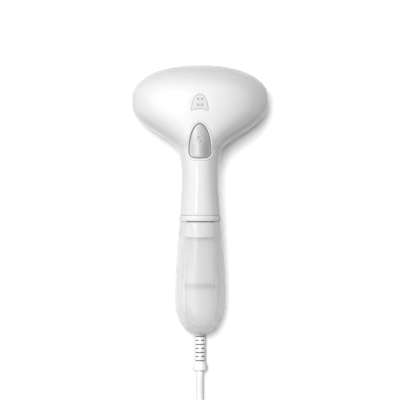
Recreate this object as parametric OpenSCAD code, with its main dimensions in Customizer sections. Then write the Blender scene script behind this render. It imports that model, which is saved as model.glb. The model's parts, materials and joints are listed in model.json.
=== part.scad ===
// Handheld garment steamer with a removable water tank, lying on its steam face.
// Millimetres. +Y points to the top of the head, +Z away from the steam face,
// and the origin is on the steam face below the widest line of the head.

/* [Head] */
// Width of the head
head_w = 140; // [132:1:148]
// Reach of the head beyond its widest line
head_top = 35.2; // [34:0.1:38]
// Length of the shoulders between the widest line and the neck
shoulder_len = 53.5; // [50:0.5:58]
// Height of the back of the head above the steam face
head_h = 78; // [76:1:82]
// Height of the seam between the back cover and the front shell
seam_h = 50; // [48:1:52]
// Wall of the two housing shells
wall = 2.4; // [2:0.1:2.6]

/* [Handle and tank] */
// Width of the neck
neck_w = 36.8; // [36:0.2:40]
// Width of the tank
tank_w = 52.4; // [50:0.2:56]
// Height of the tank's back above the steam face
tank_h = 46; // [45:1:48]
// Wall of the water tank
tank_wall = 1.8; // [1.4:0.1:2]
// Depth of the neck's front above the surface that the steamer lies on
finger_h = 24; // [22:1:25]

/* [Steam face] */
// Width of the steam plate
plate_w = 116; // [112:1:117]
// Height of the steam plate
plate_h = 60; // [57:1:61]
// Diameter of a steam hole
steam_hole_d = 2.4; // [1.6:0.2:3]

/* [Button] */
// Width of the steam button
button_w = 21.5; // [20:0.5:22]
// Travel of the steam button
button_travel = 1.6; // [1:0.1:1.6]

/* [Cord] */
// Diameter of the mains cord
cord_d = 8; // [7:0.5:8]

/* [Hidden] */
$fn = 48;

// Places along the body, from the head's widest line down.
shoulder_y = -25;
chin_y = -38;
neck_y = -78;
collar_y = -118;
dock_y = -124;
closure_y = -140;
tongue_y = -187.5;
tail_y = -204;
end_y = -240;
tail_len = tail_y - end_y;

// Heights of the widest level, and of the housing's lowest skin round the steam plate.
head_mid = 24;
neck_mid = 43;
skin_z = 2;

// Exponent of the back's section: 2 is an ellipse, and more is squarer.
up_n = 2.3;

// The rail under the tank, and the tongue that stands on it inside the tank.
rail_half = 15.3;
rail_h = 20;
tongue_h = 36;
slide_gap = 0.3;

// Centre line of the steam plate, of the tank's cap, of the pump and of the strain relief.
plate_y = -6;
cap_z = 43;
pump_z = 25.6;
relief_z = 11;

// The plain cord from the strain relief to the coil, and from the coil to the plug.
cord_run_route = [[0, -277.9, 11], [0, -284, 10.4], [0, -292, 8.7], [0, -300, 6.5],
    [0, -308, 4.8], [0, -316, 4.1], [0, -326, 4], [0, -338, 4], [0, -350, 4],
    [0, -360, 4]];
cord_lead_route = [[32, -322, 25], [22, -322, 20.5], [11, -322, 15.6], [0, -323, 12.6],
    [-11, -327.5, 11.6], [-21, -335, 11.6], [-28, -344, 12.6], [-32.5, -355, 14.6],
    [-34, -366, 16.6], [-34, -374, 17.8], [-34, -380, 18]];
coil_centre = [55, -377];
coil_mid_r = 47;
coil_half = 12;
coil_h = 32;

// A smooth step from 0 to 1, a mix of two values, and the profile of a superellipse.
function ease(t) = let (c = min(max(t, 0), 1)) c * c * (3 - 2 * c);
function mix(a, b, t) = a + (b - a) * t;
function dome(r, n) = pow(max(1 - pow(min(abs(r), 1), n), 0), 1 / n);
function power(v, p) = sign(v) * pow(abs(v), p);

// Half of the body's width at y, inset by t.
function neck_half(y) = neck_w / 2 + 0.004 * pow(max(y + 82, 0), 2);
function shoulder(y) = mix(head_w / 2, neck_half(y), ease(pow(-y / shoulder_len, 1.3)));
function grip(y) = mix(neck_w / 2, tank_w / 2, ease((neck_y - y) / 117));
function side(y, t = 0) =
    y >= 0 ? (head_w / 2 - t) * dome(y / (head_top - t), 2.2)
    : y > neck_y ? shoulder(y) - t
    : y > tail_y ? grip(y) - t
    : (tank_w / 2 - t) * dome((tail_y - y) / (tail_len - t), 2.15);

// Heights of the back, the front, the widest level and the seam at y.
function back(y) = mix(head_h, tank_h, ease(pow(max(-y, 0) / 200, 0.95)));
function front(y) =
    y > -84 ? mix(skin_z, finger_h, ease((chin_y - y) / 40))
    : finger_h * (1 - ease((-84 - y) / 126));
function mid(y) =
    y > neck_y ? mix(head_mid, neck_mid, ease((shoulder_y - y) / 50))
    : mix(neck_mid, head_mid, ease((neck_y - y) / 112));
function seam(y) = max(mid(y) + 1, mix(seam_h, 40, ease((-20 - y) / 46)));

// How far a point is from the centre line, as a share of the way to the silhouette.
function share(x, y, t) =
    y > 0 ? pow(pow(abs(x) / (head_w / 2 - t), 2.2) + pow(y / (head_top - t), 2.2), 1 / 2.2)
    : y > tail_y ? abs(x) / side(y, t)
    : pow(pow(abs(x) / (tank_w / 2 - t), 2.15)
        + pow((tail_y - y) / (tail_len - t), 2.15), 1 / 2.15);
function up_z(x, y, t = 0) =
    mid(y) + (back(y) - t - mid(y)) * dome(share(x, y, t), up_n);
function down_n(y) = 4 - 1.6 * ease((shoulder_y - y) / 45) + 1.6 * ease((-150 - y) / 50);
function down_z(x, y, t = 0) =
    mid(y) - (mid(y) - front(y) - t) * dome(share(x, y, t), down_n(y));

// Share of the silhouette at which the housing reaches level s of its upper half.
function seam_level(y, t) = (seam(y) - mid(y)) / (back(y) - t - mid(y));
function level_share(s) = dome(s, up_n);

// Rows of points across the housing, from the top of the head to the collar.
head_rows = [89, 85, 79, 72, 64, 56, 47, 38, 28, 18, 9];
function stations(t) = concat(
    [for (a = head_rows) (head_top - t) * sin(a)],
    [for (y = [0:-4:-60]) y],
    [for (y = [-66:-8:collar_y - 0.1]) y], [collar_y]);
function cover_row(y, t) =
    let (k = level_share(seam_level(y, t)), ry = y > 0 ? y * k : y, w = side(y, t) * k)
    [for (a = [-90:10:90]) let (x = w * sin(a)) [x, ry, up_z(x, ry, t)]];
function band(y, t, sgn) =
    let (top = seam_level(y, t), h = back(y) - t - mid(y))
    [for (f = [1, 0.7, 0.35]) let (k = level_share(top * f))
        [sgn * side(y, t) * k, y > 0 ? y * k : y, mid(y) + top * f * h]];
function flip(list) = [for (i = [len(list) - 1:-1:0]) list[i]];
function shell_row(y, t) = concat(
    band(y, t, 1),
    [for (a = [90:-10:-90]) let (x = side(y, t) * sin(a)) [x, y, down_z(x, y, t)]],
    flip(band(y, t, -1)));

// Closed rings round the handle and the tank.
function body_ring(y, t, step = 15) =
    let (w = side(y, t)) concat(
        [for (a = [-90:step:90]) let (x = w * sin(a)) [x, y, up_z(x, y, t)]],
        [for (a = [90 - step:-step:-90 + step])
            let (x = w * sin(a)) [x, y, down_z(x, y, t)]]);
function tank_stations(t) = concat(
    [for (y = [dock_y - 0.6:-9:tail_y + 4]) y],
    [for (a = [0:12:84]) tail_y - (tail_len - t) * sin(a)],
    [tail_y - (tail_len - t) * sin(89)]);

function quad(a, b, c, d) = [[a, b, c], [a, c, d]];
function flat1(lists) = [for (l = lists) for (e = l) e];

// A thin shell between two grids of rows. A closed end is capped, an open one is a rim.
module shell(outer, inner, closed_start, closed_end) {
    n = len(outer);
    m = len(outer[0]) - 1;
    function o(i, j) = i * (m + 1) + j;
    function v(i, j) = n * (m + 1) + i * (m + 1) + j;
    skins = [for (i = [0:n - 2]) for (j = [0:m - 1]) concat(
        quad(o(i, j), o(i, j + 1), o(i + 1, j + 1), o(i + 1, j)),
        quad(v(i, j), v(i + 1, j), v(i + 1, j + 1), v(i, j + 1)))];
    rims = [for (i = [0:n - 2]) concat(
        quad(o(i, 0), o(i + 1, 0), v(i + 1, 0), v(i, 0)),
        quad(o(i, m), v(i, m), v(i + 1, m), o(i + 1, m)))];
    function ladder(row, up) = [for (j = [0:floor(m / 2) - 1])
        let (q = quad(row + j, row + m - j, row + m - j - 1, row + j + 1))
        [for (f = q) if (f[0] != f[1] && f[1] != f[2] && f[0] != f[2])
            up ? f : flip(f)]];
    start = closed_start
        ? concat(ladder(o(0, 0), true), ladder(v(0, 0), false),
            [quad(o(0, 0), v(0, 0), v(0, m), o(0, m))])
        : [for (j = [0:m - 1]) quad(o(0, j), v(0, j), v(0, j + 1), o(0, j + 1))];
    end = closed_end
        ? concat(ladder(o(n - 1, 0), false), ladder(v(n - 1, 0), true),
            [quad(o(n - 1, 0), o(n - 1, m), v(n - 1, m), v(n - 1, 0))])
        : [for (j = [0:m - 1])
            quad(o(n - 1, j), o(n - 1, j + 1), v(n - 1, j + 1), v(n - 1, j))];
    polyhedron(concat(flat1(outer), flat1(inner)),
        flat1(concat(skins, rims, start, end)));
}

// A solid through closed rings, or a sleeve between two lists of rings.
module loft(rings) {
    n = len(rings);
    m = len(rings[0]);
    function p(i, j) = i * m + j % m;
    walls = [for (i = [0:n - 2]) for (j = [0:m - 1])
        quad(p(i, j), p(i, j + 1), p(i + 1, j + 1), p(i + 1, j))];
    caps = [for (j = [1:m - 2])
        [[p(0, 0), p(0, j + 1), p(0, j)], [p(n - 1, 0), p(n - 1, j), p(n - 1, j + 1)]]];
    polyhedron(flat1(rings), flat1(concat(walls, caps)));
}
module sleeve(outer, inner) {
    n = len(outer);
    m = len(outer[0]);
    function o(i, j) = i * m + j % m;
    function v(i, j) = (n + i) * m + j % m;
    walls = [for (i = [0:n - 2]) for (j = [0:m - 1]) concat(
        quad(o(i, j), o(i, j + 1), o(i + 1, j + 1), o(i + 1, j)),
        quad(v(i, j), v(i + 1, j), v(i + 1, j + 1), v(i, j + 1)))];
    ends = [for (j = [0:m - 1]) concat(
        quad(o(0, j), v(0, j), v(0, j + 1), o(0, j + 1)),
        quad(o(n - 1, j), o(n - 1, j + 1), v(n - 1, j + 1), v(n - 1, j)))];
    polyhedron(concat(flat1(outer), flat1(inner)), flat1(concat(walls, ends)));
}

// A ring that follows the back's surface between two outlines.
module rim_ring(outer, inner, proud, base_z) {
    n = len(outer);
    corners = [for (k = [0:n - 1]) let (o = outer[k], v = inner[k]) [
        [o.x, o.y, up_z(o.x, o.y) + proud], [v.x, v.y, up_z(v.x, v.y) + proud],
        [v.x, v.y, base_z], [o.x, o.y, base_z]]];
    faces = [for (k = [0:n - 1]) for (c = [0:3]) let (k2 = (k + 1) % n, c2 = (c + 1) % 4)
        quad(k * 4 + c, k * 4 + c2, k2 * 4 + c2, k2 * 4 + c)];
    polyhedron(flat1(corners), flat1(faces));
}

// A round tube along a route of points.
function unit(v) = v / norm(v);
module tube(route, d, sides = 8) {
    n = len(route);
    rings = [for (i = [0:n - 1])
        let (t = unit(route[min(i + 1, n - 1)] - route[max(i - 1, 0)]),
            s = unit(cross(t, abs(t.z) > 0.95 ? [0, 1, 0] : [0, 0, 1])), u = cross(s, t))
        [for (k = [0:sides - 1])
            route[i] + d / 2 * (cos(k * 360 / sides) * s + sin(k * 360 / sides) * u)]];
    loft(rings);
}

// Flat outlines: the oval of the steam face, the button's arch and the window's arch.
function oval(a, b, step = 6) = [for (k = [0:step:360 - step])
    [a * power(cos(k), 2 / 2.2), plate_y + b * power(sin(k), 2 / 2.2)]];
module oval_slab(a, b, z0, z1, step = 6) {
    translate([0, 0, z0]) linear_extrude(z1 - z0) polygon(oval(a, b, step));
}
button_wide_y = -52.9;
button_up = 25.7;
button_down = 7.8;
function button_half(y, d = 0) = (button_w / 2 + d) * (y > button_wide_y
    ? dome((y - button_wide_y) / (button_up + d), 1.95)
    : dome((button_wide_y - y) / (button_down + d), 3.2));
function button_edge(d) = [for (k = [0:10:350]) let (n = k < 180 ? 1.95 : 3.2)
    [(button_w / 2 + d) * power(cos(k), 2 / n),
        button_wide_y + (k < 180 ? button_up + d : button_down + d) * power(sin(k), 2 / n)]];
window_half = 8.2;
window_y = -14.4;
window_len = 16.4;
led_top = 73;
led_x = 1.95;
led_y = -2.8;
led_pitch = 5.65;
function window_top(x, d) = window_y + (window_len + d) * dome(x / (window_half + d), 2.1);
function window_low(x, d) = window_y + 2 - 2 * pow(x / window_half, 2) - d;
function window_edge(d) = concat(
    [for (k = [0:12:180]) let (x = (window_half + d) * cos(k)) [x, window_top(x, d)]],
    [for (f = [-0.9:0.3:0.9]) let (x = window_half * f) [x, window_low(x, d)]]);
module slot_through(edge, z0, z1) {
    translate([0, 0, z0]) linear_extrude(z1 - z0) polygon(edge);
}

// A cylinder along Y that starts at y and runs towards the tail.
module rod_y(x, y, z, d, len) {
    translate([x, y, z]) rotate([90, 0, 0]) cylinder(d = d, h = len);
}
module box(x0, x1, y0, y1, z0, z1) {
    translate([x0, y0, z0]) cube([x1 - x0, y1 - y0, z1 - z0]);
}
module rounded_bar(x0, x1, y0, y1, z0, z1, r) {
    translate([0, 0, z0]) linear_extrude(z1 - z0) union() {
        translate([x0 + r, y0]) square([x1 - x0 - 2 * r, y1 - y0]);
        translate([x0, y0 + r]) square([x1 - x0, y1 - y0 - 2 * r]);
        for (x = [x0 + r, x1 - r], y = [y0 + r, y1 - r]) translate([x, y]) circle(r);
    }
}

// Housing shells, and the screw bosses that join them in the neck
screw_y = -92;
screw_d = 3;
screw_head_d = 6;
boss_d = 7.4;
boss_z = 40.8;
rail_screw_x = 9;
rail_screw_y = -212;
face_gap = 0.4;
bezel_w = 3.5;
module back_cover() {
    color("white") difference() {
        union() {
            shell([for (y = stations(0)) cover_row(y, 0)],
                [for (y = stations(wall)) cover_row(y, wall)], true, false);
            translate([0, screw_y, boss_z + 0.2])
                cylinder(d = boss_d, h = back(screw_y) - wall / 2 - boss_z - 0.2);
        }
        slot_through(button_edge(3.1), 55, 90);
        slot_through(window_edge(0.2), 65, 90);
        translate([0, screw_y, boss_z - 1]) cylinder(d = screw_d + 0.1, h = 9);
    }
}
module front_shell() {
    color("white") difference() {
        union() {
            shell([for (y = stations(0)) shell_row(y, 0)],
                [for (y = stations(wall)) shell_row(y, wall)], true, false);
            translate([0, screw_y, front(screw_y) + wall / 2])
                cylinder(d = boss_d, h = boss_z - 0.2 - front(screw_y) - wall / 2);
        }
        slot_through(oval(plate_w / 2 + bezel_w + face_gap, plate_h / 2 + bezel_w + face_gap),
            -1, 18);
        translate([0, screw_y, 0]) cylinder(d = screw_d + 0.2, h = boss_z + 5);
        translate([0, screw_y, 0]) cylinder(d = screw_head_d + 0.4, h = front(screw_y) + 4);
    }
}

// Steam face
module plate_bezel() {
    color("gainsboro") difference() {
        oval_slab(plate_w / 2 + bezel_w, plate_h / 2 + bezel_w, 0.6, 10.4);
        oval_slab(plate_w / 2 + 0.3, plate_h / 2 + 0.3, -1, 5);
        oval_slab(plate_w / 2 - 3, plate_h / 2 - 3, 4, 13);
    }
}
module plate_gasket() {
    color("dimgray") difference() {
        oval_slab(plate_w / 2 - 0.5, plate_h / 2 - 0.5, 2, 4.8);
        oval_slab(plate_w / 2 - 4, plate_h / 2 - 4, 1, 6);
    }
}
hole_x = 20;
hole_pitch = 7;
hole_row = 15;
hole_bend = 0.65;
jet_x = 13;
jet_pitch = 9;
module at_jets() {
    for (sgn = [-1, 1], i = [0:2])
        translate([sgn * (jet_x + jet_pitch * i), plate_y, -1]) children();
}
module steam_hole() {
    cylinder(d = steam_hole_d, h = 8);
}
module steam_plate() {
    color("silver") difference() {
        oval_slab(plate_w / 2, plate_h / 2, 0, 2);
        for (sx = [-1, 1], sy = [-1, 1], i = [0:4])
            translate([sx * (hole_x + hole_pitch * i),
                plate_y + sy * (hole_row - hole_bend * i * i), -1]) steam_hole();
        at_jets() steam_hole();
    }
}

// Boiler
base_a = 52;
base_b = 24.5;
base_top = 16;
element_z = 12;
element_r = 14;
element_x = 28;
element_d = 6.4;
element_leg = 71;
port_y = plate_y - 6;
bolt_x = 22;
bolt_y = 19.6;
bolt_d = 3.4;
module at_bolts() {
    for (sx = [-1, 1], sy = [-1, 1])
        translate([sx * bolt_x, plate_y + sy * bolt_y, 0]) children();
}
module element_path(d, leg) {
    translate([element_x, plate_y, element_z]) rotate([0, 0, -90])
        rotate_extrude(angle = 180) translate([element_r, 0]) circle(d = d);
    for (sgn = [-1, 1])
        translate([element_x, plate_y + sgn * element_r, element_z]) rotate([0, -90, 0])
            cylinder(d = d, h = leg);
}
module boiler_base() {
    color("lightgray") difference() {
        oval_slab(base_a, base_b, 2, base_top);
        rounded_bar(-36, 34, plate_y - 9.4, plate_y + 9.4, 6, base_top + 1, 5);
        element_path(element_d + 0.2, element_leg + 19);
        at_jets() cylinder(d = 3, h = 10);
        at_bolts() translate([0, 0, 6]) cylinder(d = bolt_d + 0.2, h = 12);
    }
}
module boiler_lid() {
    color("darkgray") difference() {
        union() {
            oval_slab(base_a - 1, base_b - 1, base_top, base_top + 3);
            translate([0, port_y, base_top + 2]) cylinder(d = 6, h = 8);
        }
        translate([0, port_y, base_top - 1]) cylinder(d = 3, h = 12);
        at_bolts() translate([0, 0, 10]) cylinder(d = bolt_d + 0.4, h = 12);
    }
}
module heating_element() {
    color("dimgray") union() {
        element_path(element_d, element_leg);
        for (sgn = [-1, 1])
            translate([element_x - element_leg, plate_y + sgn * element_r, element_z])
                rotate([0, -90, 0]) cylinder(d = 2.4, h = 7.5);
    }
}
module boiler_screws() {
    color("silver") at_bolts() {
        translate([0, 0, base_top + 3]) cylinder(d = 6.4, h = 2.4);
        translate([0, 0, 8]) cylinder(d = bolt_d, h = 12);
    }
}
module thermostat() {
    color("silver") translate([-24, plate_y, base_top + 3]) {
        cylinder(d = 16, h = 5);
        translate([0, 0, 5]) cylinder(d = 12.4, h = 3);
        for (sx = [-1, 1])
            translate([sx * 7 - 2, -0.4, 3]) cube([4, 0.8, 8]);
    }
}
module thermal_fuse() {
    color("tan") translate([18, plate_y, base_top + 5.1]) rotate([0, 90, 0]) {
        cylinder(d = 4, h = 12);
        translate([0, 0, -8]) cylinder(d = 1, h = 28);
    }
}
module heat_shield() {
    color("whitesmoke") difference() {
        union() {
            oval_slab(40, 18, 33, 34.5);
            for (sx = [-1, 1], sy = [-1, 1])
                translate([sx * 32, plate_y + sy * 8, base_top + 3])
                    cylinder(d = 5, h = 15);
        }
        translate([0, port_y, 30]) cylinder(d = 9, h = 6);
    }
}

// Electrics and the button
board_half = 10.5;
board_low_y = -84;
board_high_y = -34;
board_z = 47;
board_top = board_z + 1.6;
switch_y = -46;
switch_top = 57;
plunger_d = 3;
plunger_top = switch_top + button_travel + 1.4;
button_low = plunger_top + 2;
spring_x = 7.4;
module control_board() {
    color("seagreen") difference() {
        box(-board_half, board_half, board_low_y, board_high_y, board_z, board_top);
        for (y = [board_low_y + 4, board_high_y - 4])
            translate([2.5 - board_half, y, board_z - 1]) cylinder(d = 3, h = 4);
    }
}
module board_parts() {
    color("dimgray") {
        box(-8, 4, -77, -61, board_z - 10, board_z);
        for (y = [-50, -70]) translate([8, y, board_z - 7]) cylinder(d = 3, h = 7);
        box(-9, -5, -60, -54, board_top, board_z + 5);
    }
}
module micro_switch() {
    color("black") difference() {
        box(-3.3, 3.3, switch_y - 6.4, switch_y + 6.4, board_top, switch_top);
        translate([0, switch_y, switch_top - 5]) cylinder(d = plunger_d + 0.1, h = 6);
    }
}
module switch_plunger() {
    color("firebrick") translate([0, switch_y, switch_top - 3])
        cylinder(d = plunger_d, h = plunger_top + 3 - switch_top);
}
button_rows = [for (a = [85:-17:0]) button_wide_y + button_up * sin(a)];
button_low_rows = [for (a = [25:25:75]) button_wide_y - button_down * sin(a)];
module steam_button() {
    rows = concat(button_rows, button_low_rows, [button_wide_y - button_down * 0.995]);
    color("silver") union() {
        shell([for (y = rows) [for (f = [-1:0.2:1])
                let (x = f * button_half(y)) [x, y, up_z(x, y) + 0.6 - 1.2 * f * f]]],
            [for (y = rows) [for (f = [-1:0.2:1]) [f * button_half(y), y, button_low]]],
            false, false);
        translate([0, switch_y, plunger_top + 0.2])
            cylinder(d = 5, h = button_low - plunger_top + 0.6);
    }
}
module button_springs() {
    color("silver") for (x = [-spring_x, spring_x])
        translate([x, switch_y, 0]) difference() {
            translate([0, 0, board_top]) cylinder(d = 4, h = button_low - board_top - 0.2);
            translate([0, 0, board_z]) cylinder(d = 2.8, h = 20);
        }
}
module button_bezel() {
    color("white") rim_ring(button_edge(2.9), button_edge(0.4), 0.3, 59);
}
module indicator_window() {
    xs = [for (k = [-80:16:80]) window_half * sin(k)];
    color("lightgray")
        shell([for (x = xs) [for (f = [0:0.25:1])
                let (y = mix(window_low(x, 0), window_top(x, 0), f)) [x, y, up_z(x, y) - 0.1]]],
            [for (x = xs) [for (f = [0:0.25:1])
                [x, mix(window_low(x, 0), window_top(x, 0), f), led_top]]],
            false, false);
}
module indicator_leds() {
    color("honeydew") for (x = [-led_x, led_x], y = [led_y, led_y - led_pitch])
        translate([x, y, led_top - 3]) cylinder(d = 2.8, h = 3);
}

// Lower end of the handle, and the spout that the tank's cap plugs into
spout_d = 12.8;
cap_d = 12;
stem_d = 8.8;
module handle_collar() {
    ys = [collar_y - 0.2, collar_y - 1, dock_y + 0.8, dock_y + 0.1];
    lift = [0, 0.35, 0.35, 0];
    color("white") sleeve([for (i = [0:3]) body_ring(ys[i], -lift[i])],
        [for (y = ys) body_ring(y, wall)]);
}
module tank_dock() {
    color("whitesmoke") difference() {
        loft([for (y = [collar_y - 0.2, dock_y + 0.1]) body_ring(y, wall + 0.15)]);
        rod_y(0, collar_y + 1, cap_z, spout_d, 10);
        box(-11.8, 11.8, dock_y - 1, collar_y + 1, 15, 33);
    }
}
module dock_seal() {
    color("gray") difference() {
        rod_y(0, collar_y + 2, cap_z, 13.4, 2);
        rod_y(0, collar_y + 3, cap_z, 9, 4);
    }
}
module rail_space(extra, len_extra) {
    box(-rail_half - extra, rail_half + extra, end_y - 10, dock_y + 5, -5, rail_h + extra);
    box(-rail_half - extra, rail_half + extra, tongue_y - len_extra, dock_y + 5,
        -5, tongue_h + extra);
}
module lower_spine() {
    color("white") difference() {
        union() {
            intersection() {
                loft([for (y = tank_stations(0)) body_ring(y, 0)]);
                box(-rail_half, rail_half, end_y - 1, dock_y, -1, rail_h);
            }
            rounded_bar(-rail_half, rail_half, tongue_y, dock_y - 0.1, rail_h - 1, tongue_h, 2);
        }
        box(-12.6, 12.6, -185, dock_y + 1, 21, 33.6);
        box(-12, 12, -185, -152, 13.5, 22);
        box(-12, 12, -223, -178, 6.6, 17.5);
        rod_y(0, -222, relief_z, 10.6, 30);
        rod_y(0, -224, relief_z, 14.6, 5);
        for (x = [-rail_screw_x, rail_screw_x]) translate([x, rail_screw_y, -1]) {
            cylinder(d = screw_d + 0.2, h = 10);
            cylinder(d = screw_head_d + 0.4, h = 4);
        }
    }
}

// Pump
pump_y = -149;
pump_len = 33;
pump_d = 8.6;
pump_bore = 5.2;
piston_len = 18;
module pump_body() {
    color("whitesmoke") difference() {
        union() {
            rod_y(0, pump_y, pump_z, pump_d, pump_len);
            rod_y(0, pump_y + 5, pump_z, 4.4, 6);
        }
        rod_y(0, pump_y - 3, pump_z, pump_bore, pump_len - 7);
        rod_y(0, pump_y + 6, pump_z, 2.2, 12);
    }
}
module pump_coil() {
    color("peru") difference() {
        box(-7.4, 7.4, -174, -156, pump_z - 7.3, pump_z + 7.3);
        rod_y(0, pump_y - 1, pump_z, pump_d + 0.2, pump_len - 3);
    }
}
module pump_piston() {
    color("gray") difference() {
        rod_y(0, pump_y - 7, pump_z, pump_bore - 0.1, piston_len);
        rod_y(0, pump_y - 6, pump_z, 2, piston_len + 2);
    }
}
module suction_tube() {
    color("whitesmoke") tube([[0, -115.4, cap_z], [0, -110, cap_z - 0.8],
        [0, -106, cap_z - 5], [0, -107, 32.5], [0, -114, 28.6], [0, -124, 27],
        [0, -138, pump_z], [0, -143.9, pump_z]], 4);
}
module water_tube() {
    color("whitesmoke") tube([[-4.4, -178.5, pump_z], [-7.6, -178.5, pump_z],
        [-10, -175.5, pump_z], [-10.2, -166, pump_z], [-10.2, -150, pump_z],
        [-9.8, -134, 26.5], [-9.2, -122, 27.4], [-9.2, -108, 30], [-9.4, -94, 33],
        [-9.4, -78, 33.6], [-8, -60, 33], [-5, -42, 34], [-2, -28, 37.5],
        [0, -18, 38.5], [0, -12.6, 36], [0, -12, 32], [0, -12, 26.1]], 3.4);
}
module mains_leads() {
    color("black") tube([[0, -195.9, 11], [0, -193, 11], [4.5, -189, 11.6],
        [9, -184, 14], [9.9, -176, 18.5], [9.9, -164, 22.4], [9.9, -150, 25],
        [9.9, -136, 26], [9.4, -122, 27], [8.8, -104, 31], [8, -90, 37],
        [7, -82, 42], [7, -81, board_z - 0.1]], 3.6);
}
module heater_leads() {
    color("firebrick") for (sgn = [-1, 1])
        tube([[sgn * 2, -48, board_z - 0.1], [sgn * 2, -48, 43], [sgn * 2 - 5, -44, 38],
            [sgn * 2 - 16, -36, 34], [-30 + sgn, -27 + sgn * 2, 30],
            [-42, -18 + sgn * 4, 27], [-48.6, plate_y + sgn * 10, 23],
            [-49.2, plate_y + sgn * element_r, 18],
            [-49.2, plate_y + sgn * element_r, element_z + 1.3]], 2);
}
module inner_cord() {
    color("whitesmoke") rod_y(0, -196, relief_z, cord_d, 29.8);
}
module cord_clamp() {
    color("gainsboro") difference() {
        box(-11.6, 11.6, -208, -200, relief_z, 17.3);
        rod_y(0, -199, relief_z, cord_d + 0.2, 10);
    }
}
module case_screws() {
    color("dimgray") {
        translate([0, screw_y, front(screw_y) + 1.6]) {
            cylinder(d = screw_head_d, h = 2.2);
            cylinder(d = screw_d, h = boss_z + 3.2 - front(screw_y));
        }
        for (x = [-rail_screw_x, rail_screw_x]) translate([x, rail_screw_y, 1]) {
            cylinder(d = screw_head_d, h = 1.8);
            cylinder(d = screw_d, h = 5.4);
        }
    }
}

// Water tank
module tank_shell() {
    color("aliceblue", 0.5) difference() {
        loft([for (y = tank_stations(0)) body_ring(y, 0)]);
        difference() {
            loft([for (y = concat([dock_y + 2], tank_stations(tank_wall)))
                body_ring(y, tank_wall)]);
            rail_space(slide_gap + tank_wall, slide_gap + tank_wall);
        }
        rail_space(slide_gap, slide_gap);
    }
}
module tank_closure() {
    color("whitesmoke") difference() {
        loft([for (y = [dock_y - 1.2, closure_y]) body_ring(y, tank_wall + 0.1)]);
        rail_space(slide_gap + tank_wall + 0.1, 0);
        rod_y(0, dock_y + 2, cap_z, stem_d + 0.2, 30);
        difference() {
            loft([for (y = [dock_y - 4.2, closure_y - 1]) body_ring(y, tank_wall + 2)]);
            rail_space(slide_gap + tank_wall + 2, 0);
            rod_y(0, dock_y, cap_z, cap_d, 30);
        }
    }
}
module tank_cap() {
    color("gray") difference() {
        union() {
            rod_y(0, -119.6, cap_z, cap_d, 4.8);
            rod_y(0, dock_y, cap_z, stem_d, 14);
        }
        rod_y(0, -118, cap_z, 4.6, 22);
        rod_y(0, -134, cap_z, 7, 5);
    }
}
module tank_valve() {
    color("darkgray") {
        rod_y(0, -134.2, cap_z, 6.8, 1.2);
        rod_y(0, -126, cap_z, 2, 9);
    }
}

// Cord, its strain relief and its plug
relief_y = -226;
relief_neck_y = -240.2;
relief_end = -277.9;
relief_r = 6;
relief_core = 4.3;
flare_r = 7.8;
slot_y = -242.8;
slot_pitch = 4.15;
slot_w = 1.4;
module relief_slot(y, across) {
    difference() {
        rod_y(0, y + slot_w / 2, relief_z, 4 * relief_r, slot_w);
        rod_y(0, y + slot_w, relief_z, 2 * relief_core, 2 * slot_w);
        if (across) {
            for (x = [-14.7, 4.7]) translate([x, y - slot_w, -10]) cube([10, 3, 40]);
        } else {
            translate([-1.2, y - slot_w, -10]) cube([2.4, 3, 40]);
        }
    }
}
module strain_relief() {
    color("whitesmoke") difference() {
        translate([0, 0, relief_z]) rotate([90, 0, 0]) rotate_extrude()
            polygon([[0, -relief_y], [7, -relief_y], [7, 228.6], [5, 228.6],
                [5, -relief_neck_y], [relief_r, -relief_neck_y], [relief_r, 268.2],
                [6.6, 270.6], [flare_r - 0.2, 274.2], [flare_r, 275.8], [flare_r, 277.2],
                [flare_r - 0.7, -relief_end], [0, -relief_end]]);
        for (i = [0:6]) relief_slot(slot_y - slot_pitch * i, i % 2 == 0);
    }
}
module cord_run() {
    color("whitesmoke") tube(cord_run_route, cord_d, 10);
}
module cord_lead() {
    color("whitesmoke") tube(cord_lead_route, cord_d, 10);
}
module cord_coil() {
    r = coil_half / 2;
    color("whitesmoke") translate([coil_centre.x, coil_centre.y, 0]) rotate_extrude($fn = 96)
        translate([coil_mid_r - coil_half, 0]) union() {
            translate([r, 0]) square([2 * coil_half - 2 * r, coil_h]);
            translate([0, r]) square([2 * coil_half, coil_h - 2 * r]);
            for (x = [r, 2 * coil_half - r], z = [r, coil_h - r]) translate([x, z]) circle(r);
        }
}
module cord_tie() {
    in = coil_mid_r - coil_half - 1;
    out = coil_mid_r + coil_half + 1;
    color("white") translate([coil_centre.x, coil_centre.y, 0]) difference() {
        box(in, out, -6, 6, 0, coil_h + 1);
        box(in + 1, out - 1, -7, 7, 1, coil_h);
    }
}
plug_x = -34;
plug_y = -380;
plug_z = 18;
plug_r = 17.8;
plug_len = 37;
pin_pitch = 19;
pin_d = 4.8;
pin_len = 17.5;
module plug_body() {
    color("whitesmoke") translate([plug_x, plug_y, plug_z]) rotate([90, 0, 0])
        rotate_extrude() polygon([[0, 0], [5, 0], [6.4, 8], [9, 10], [14, 12.5],
            [plug_r - 0.8, 16.5], [plug_r, 21], [plug_r, plug_len - 1],
            [plug_r - 1, plug_len], [0, plug_len]]);
}
module plug_pins() {
    color("silver") for (x = [plug_x - pin_pitch / 2, plug_x + pin_pitch / 2]) {
        rod_y(x, plug_y - plug_len, plug_z, pin_d, pin_len);
        translate([x, plug_y - plug_len - pin_len, plug_z]) sphere(d = pin_d);
    }
}

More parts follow.
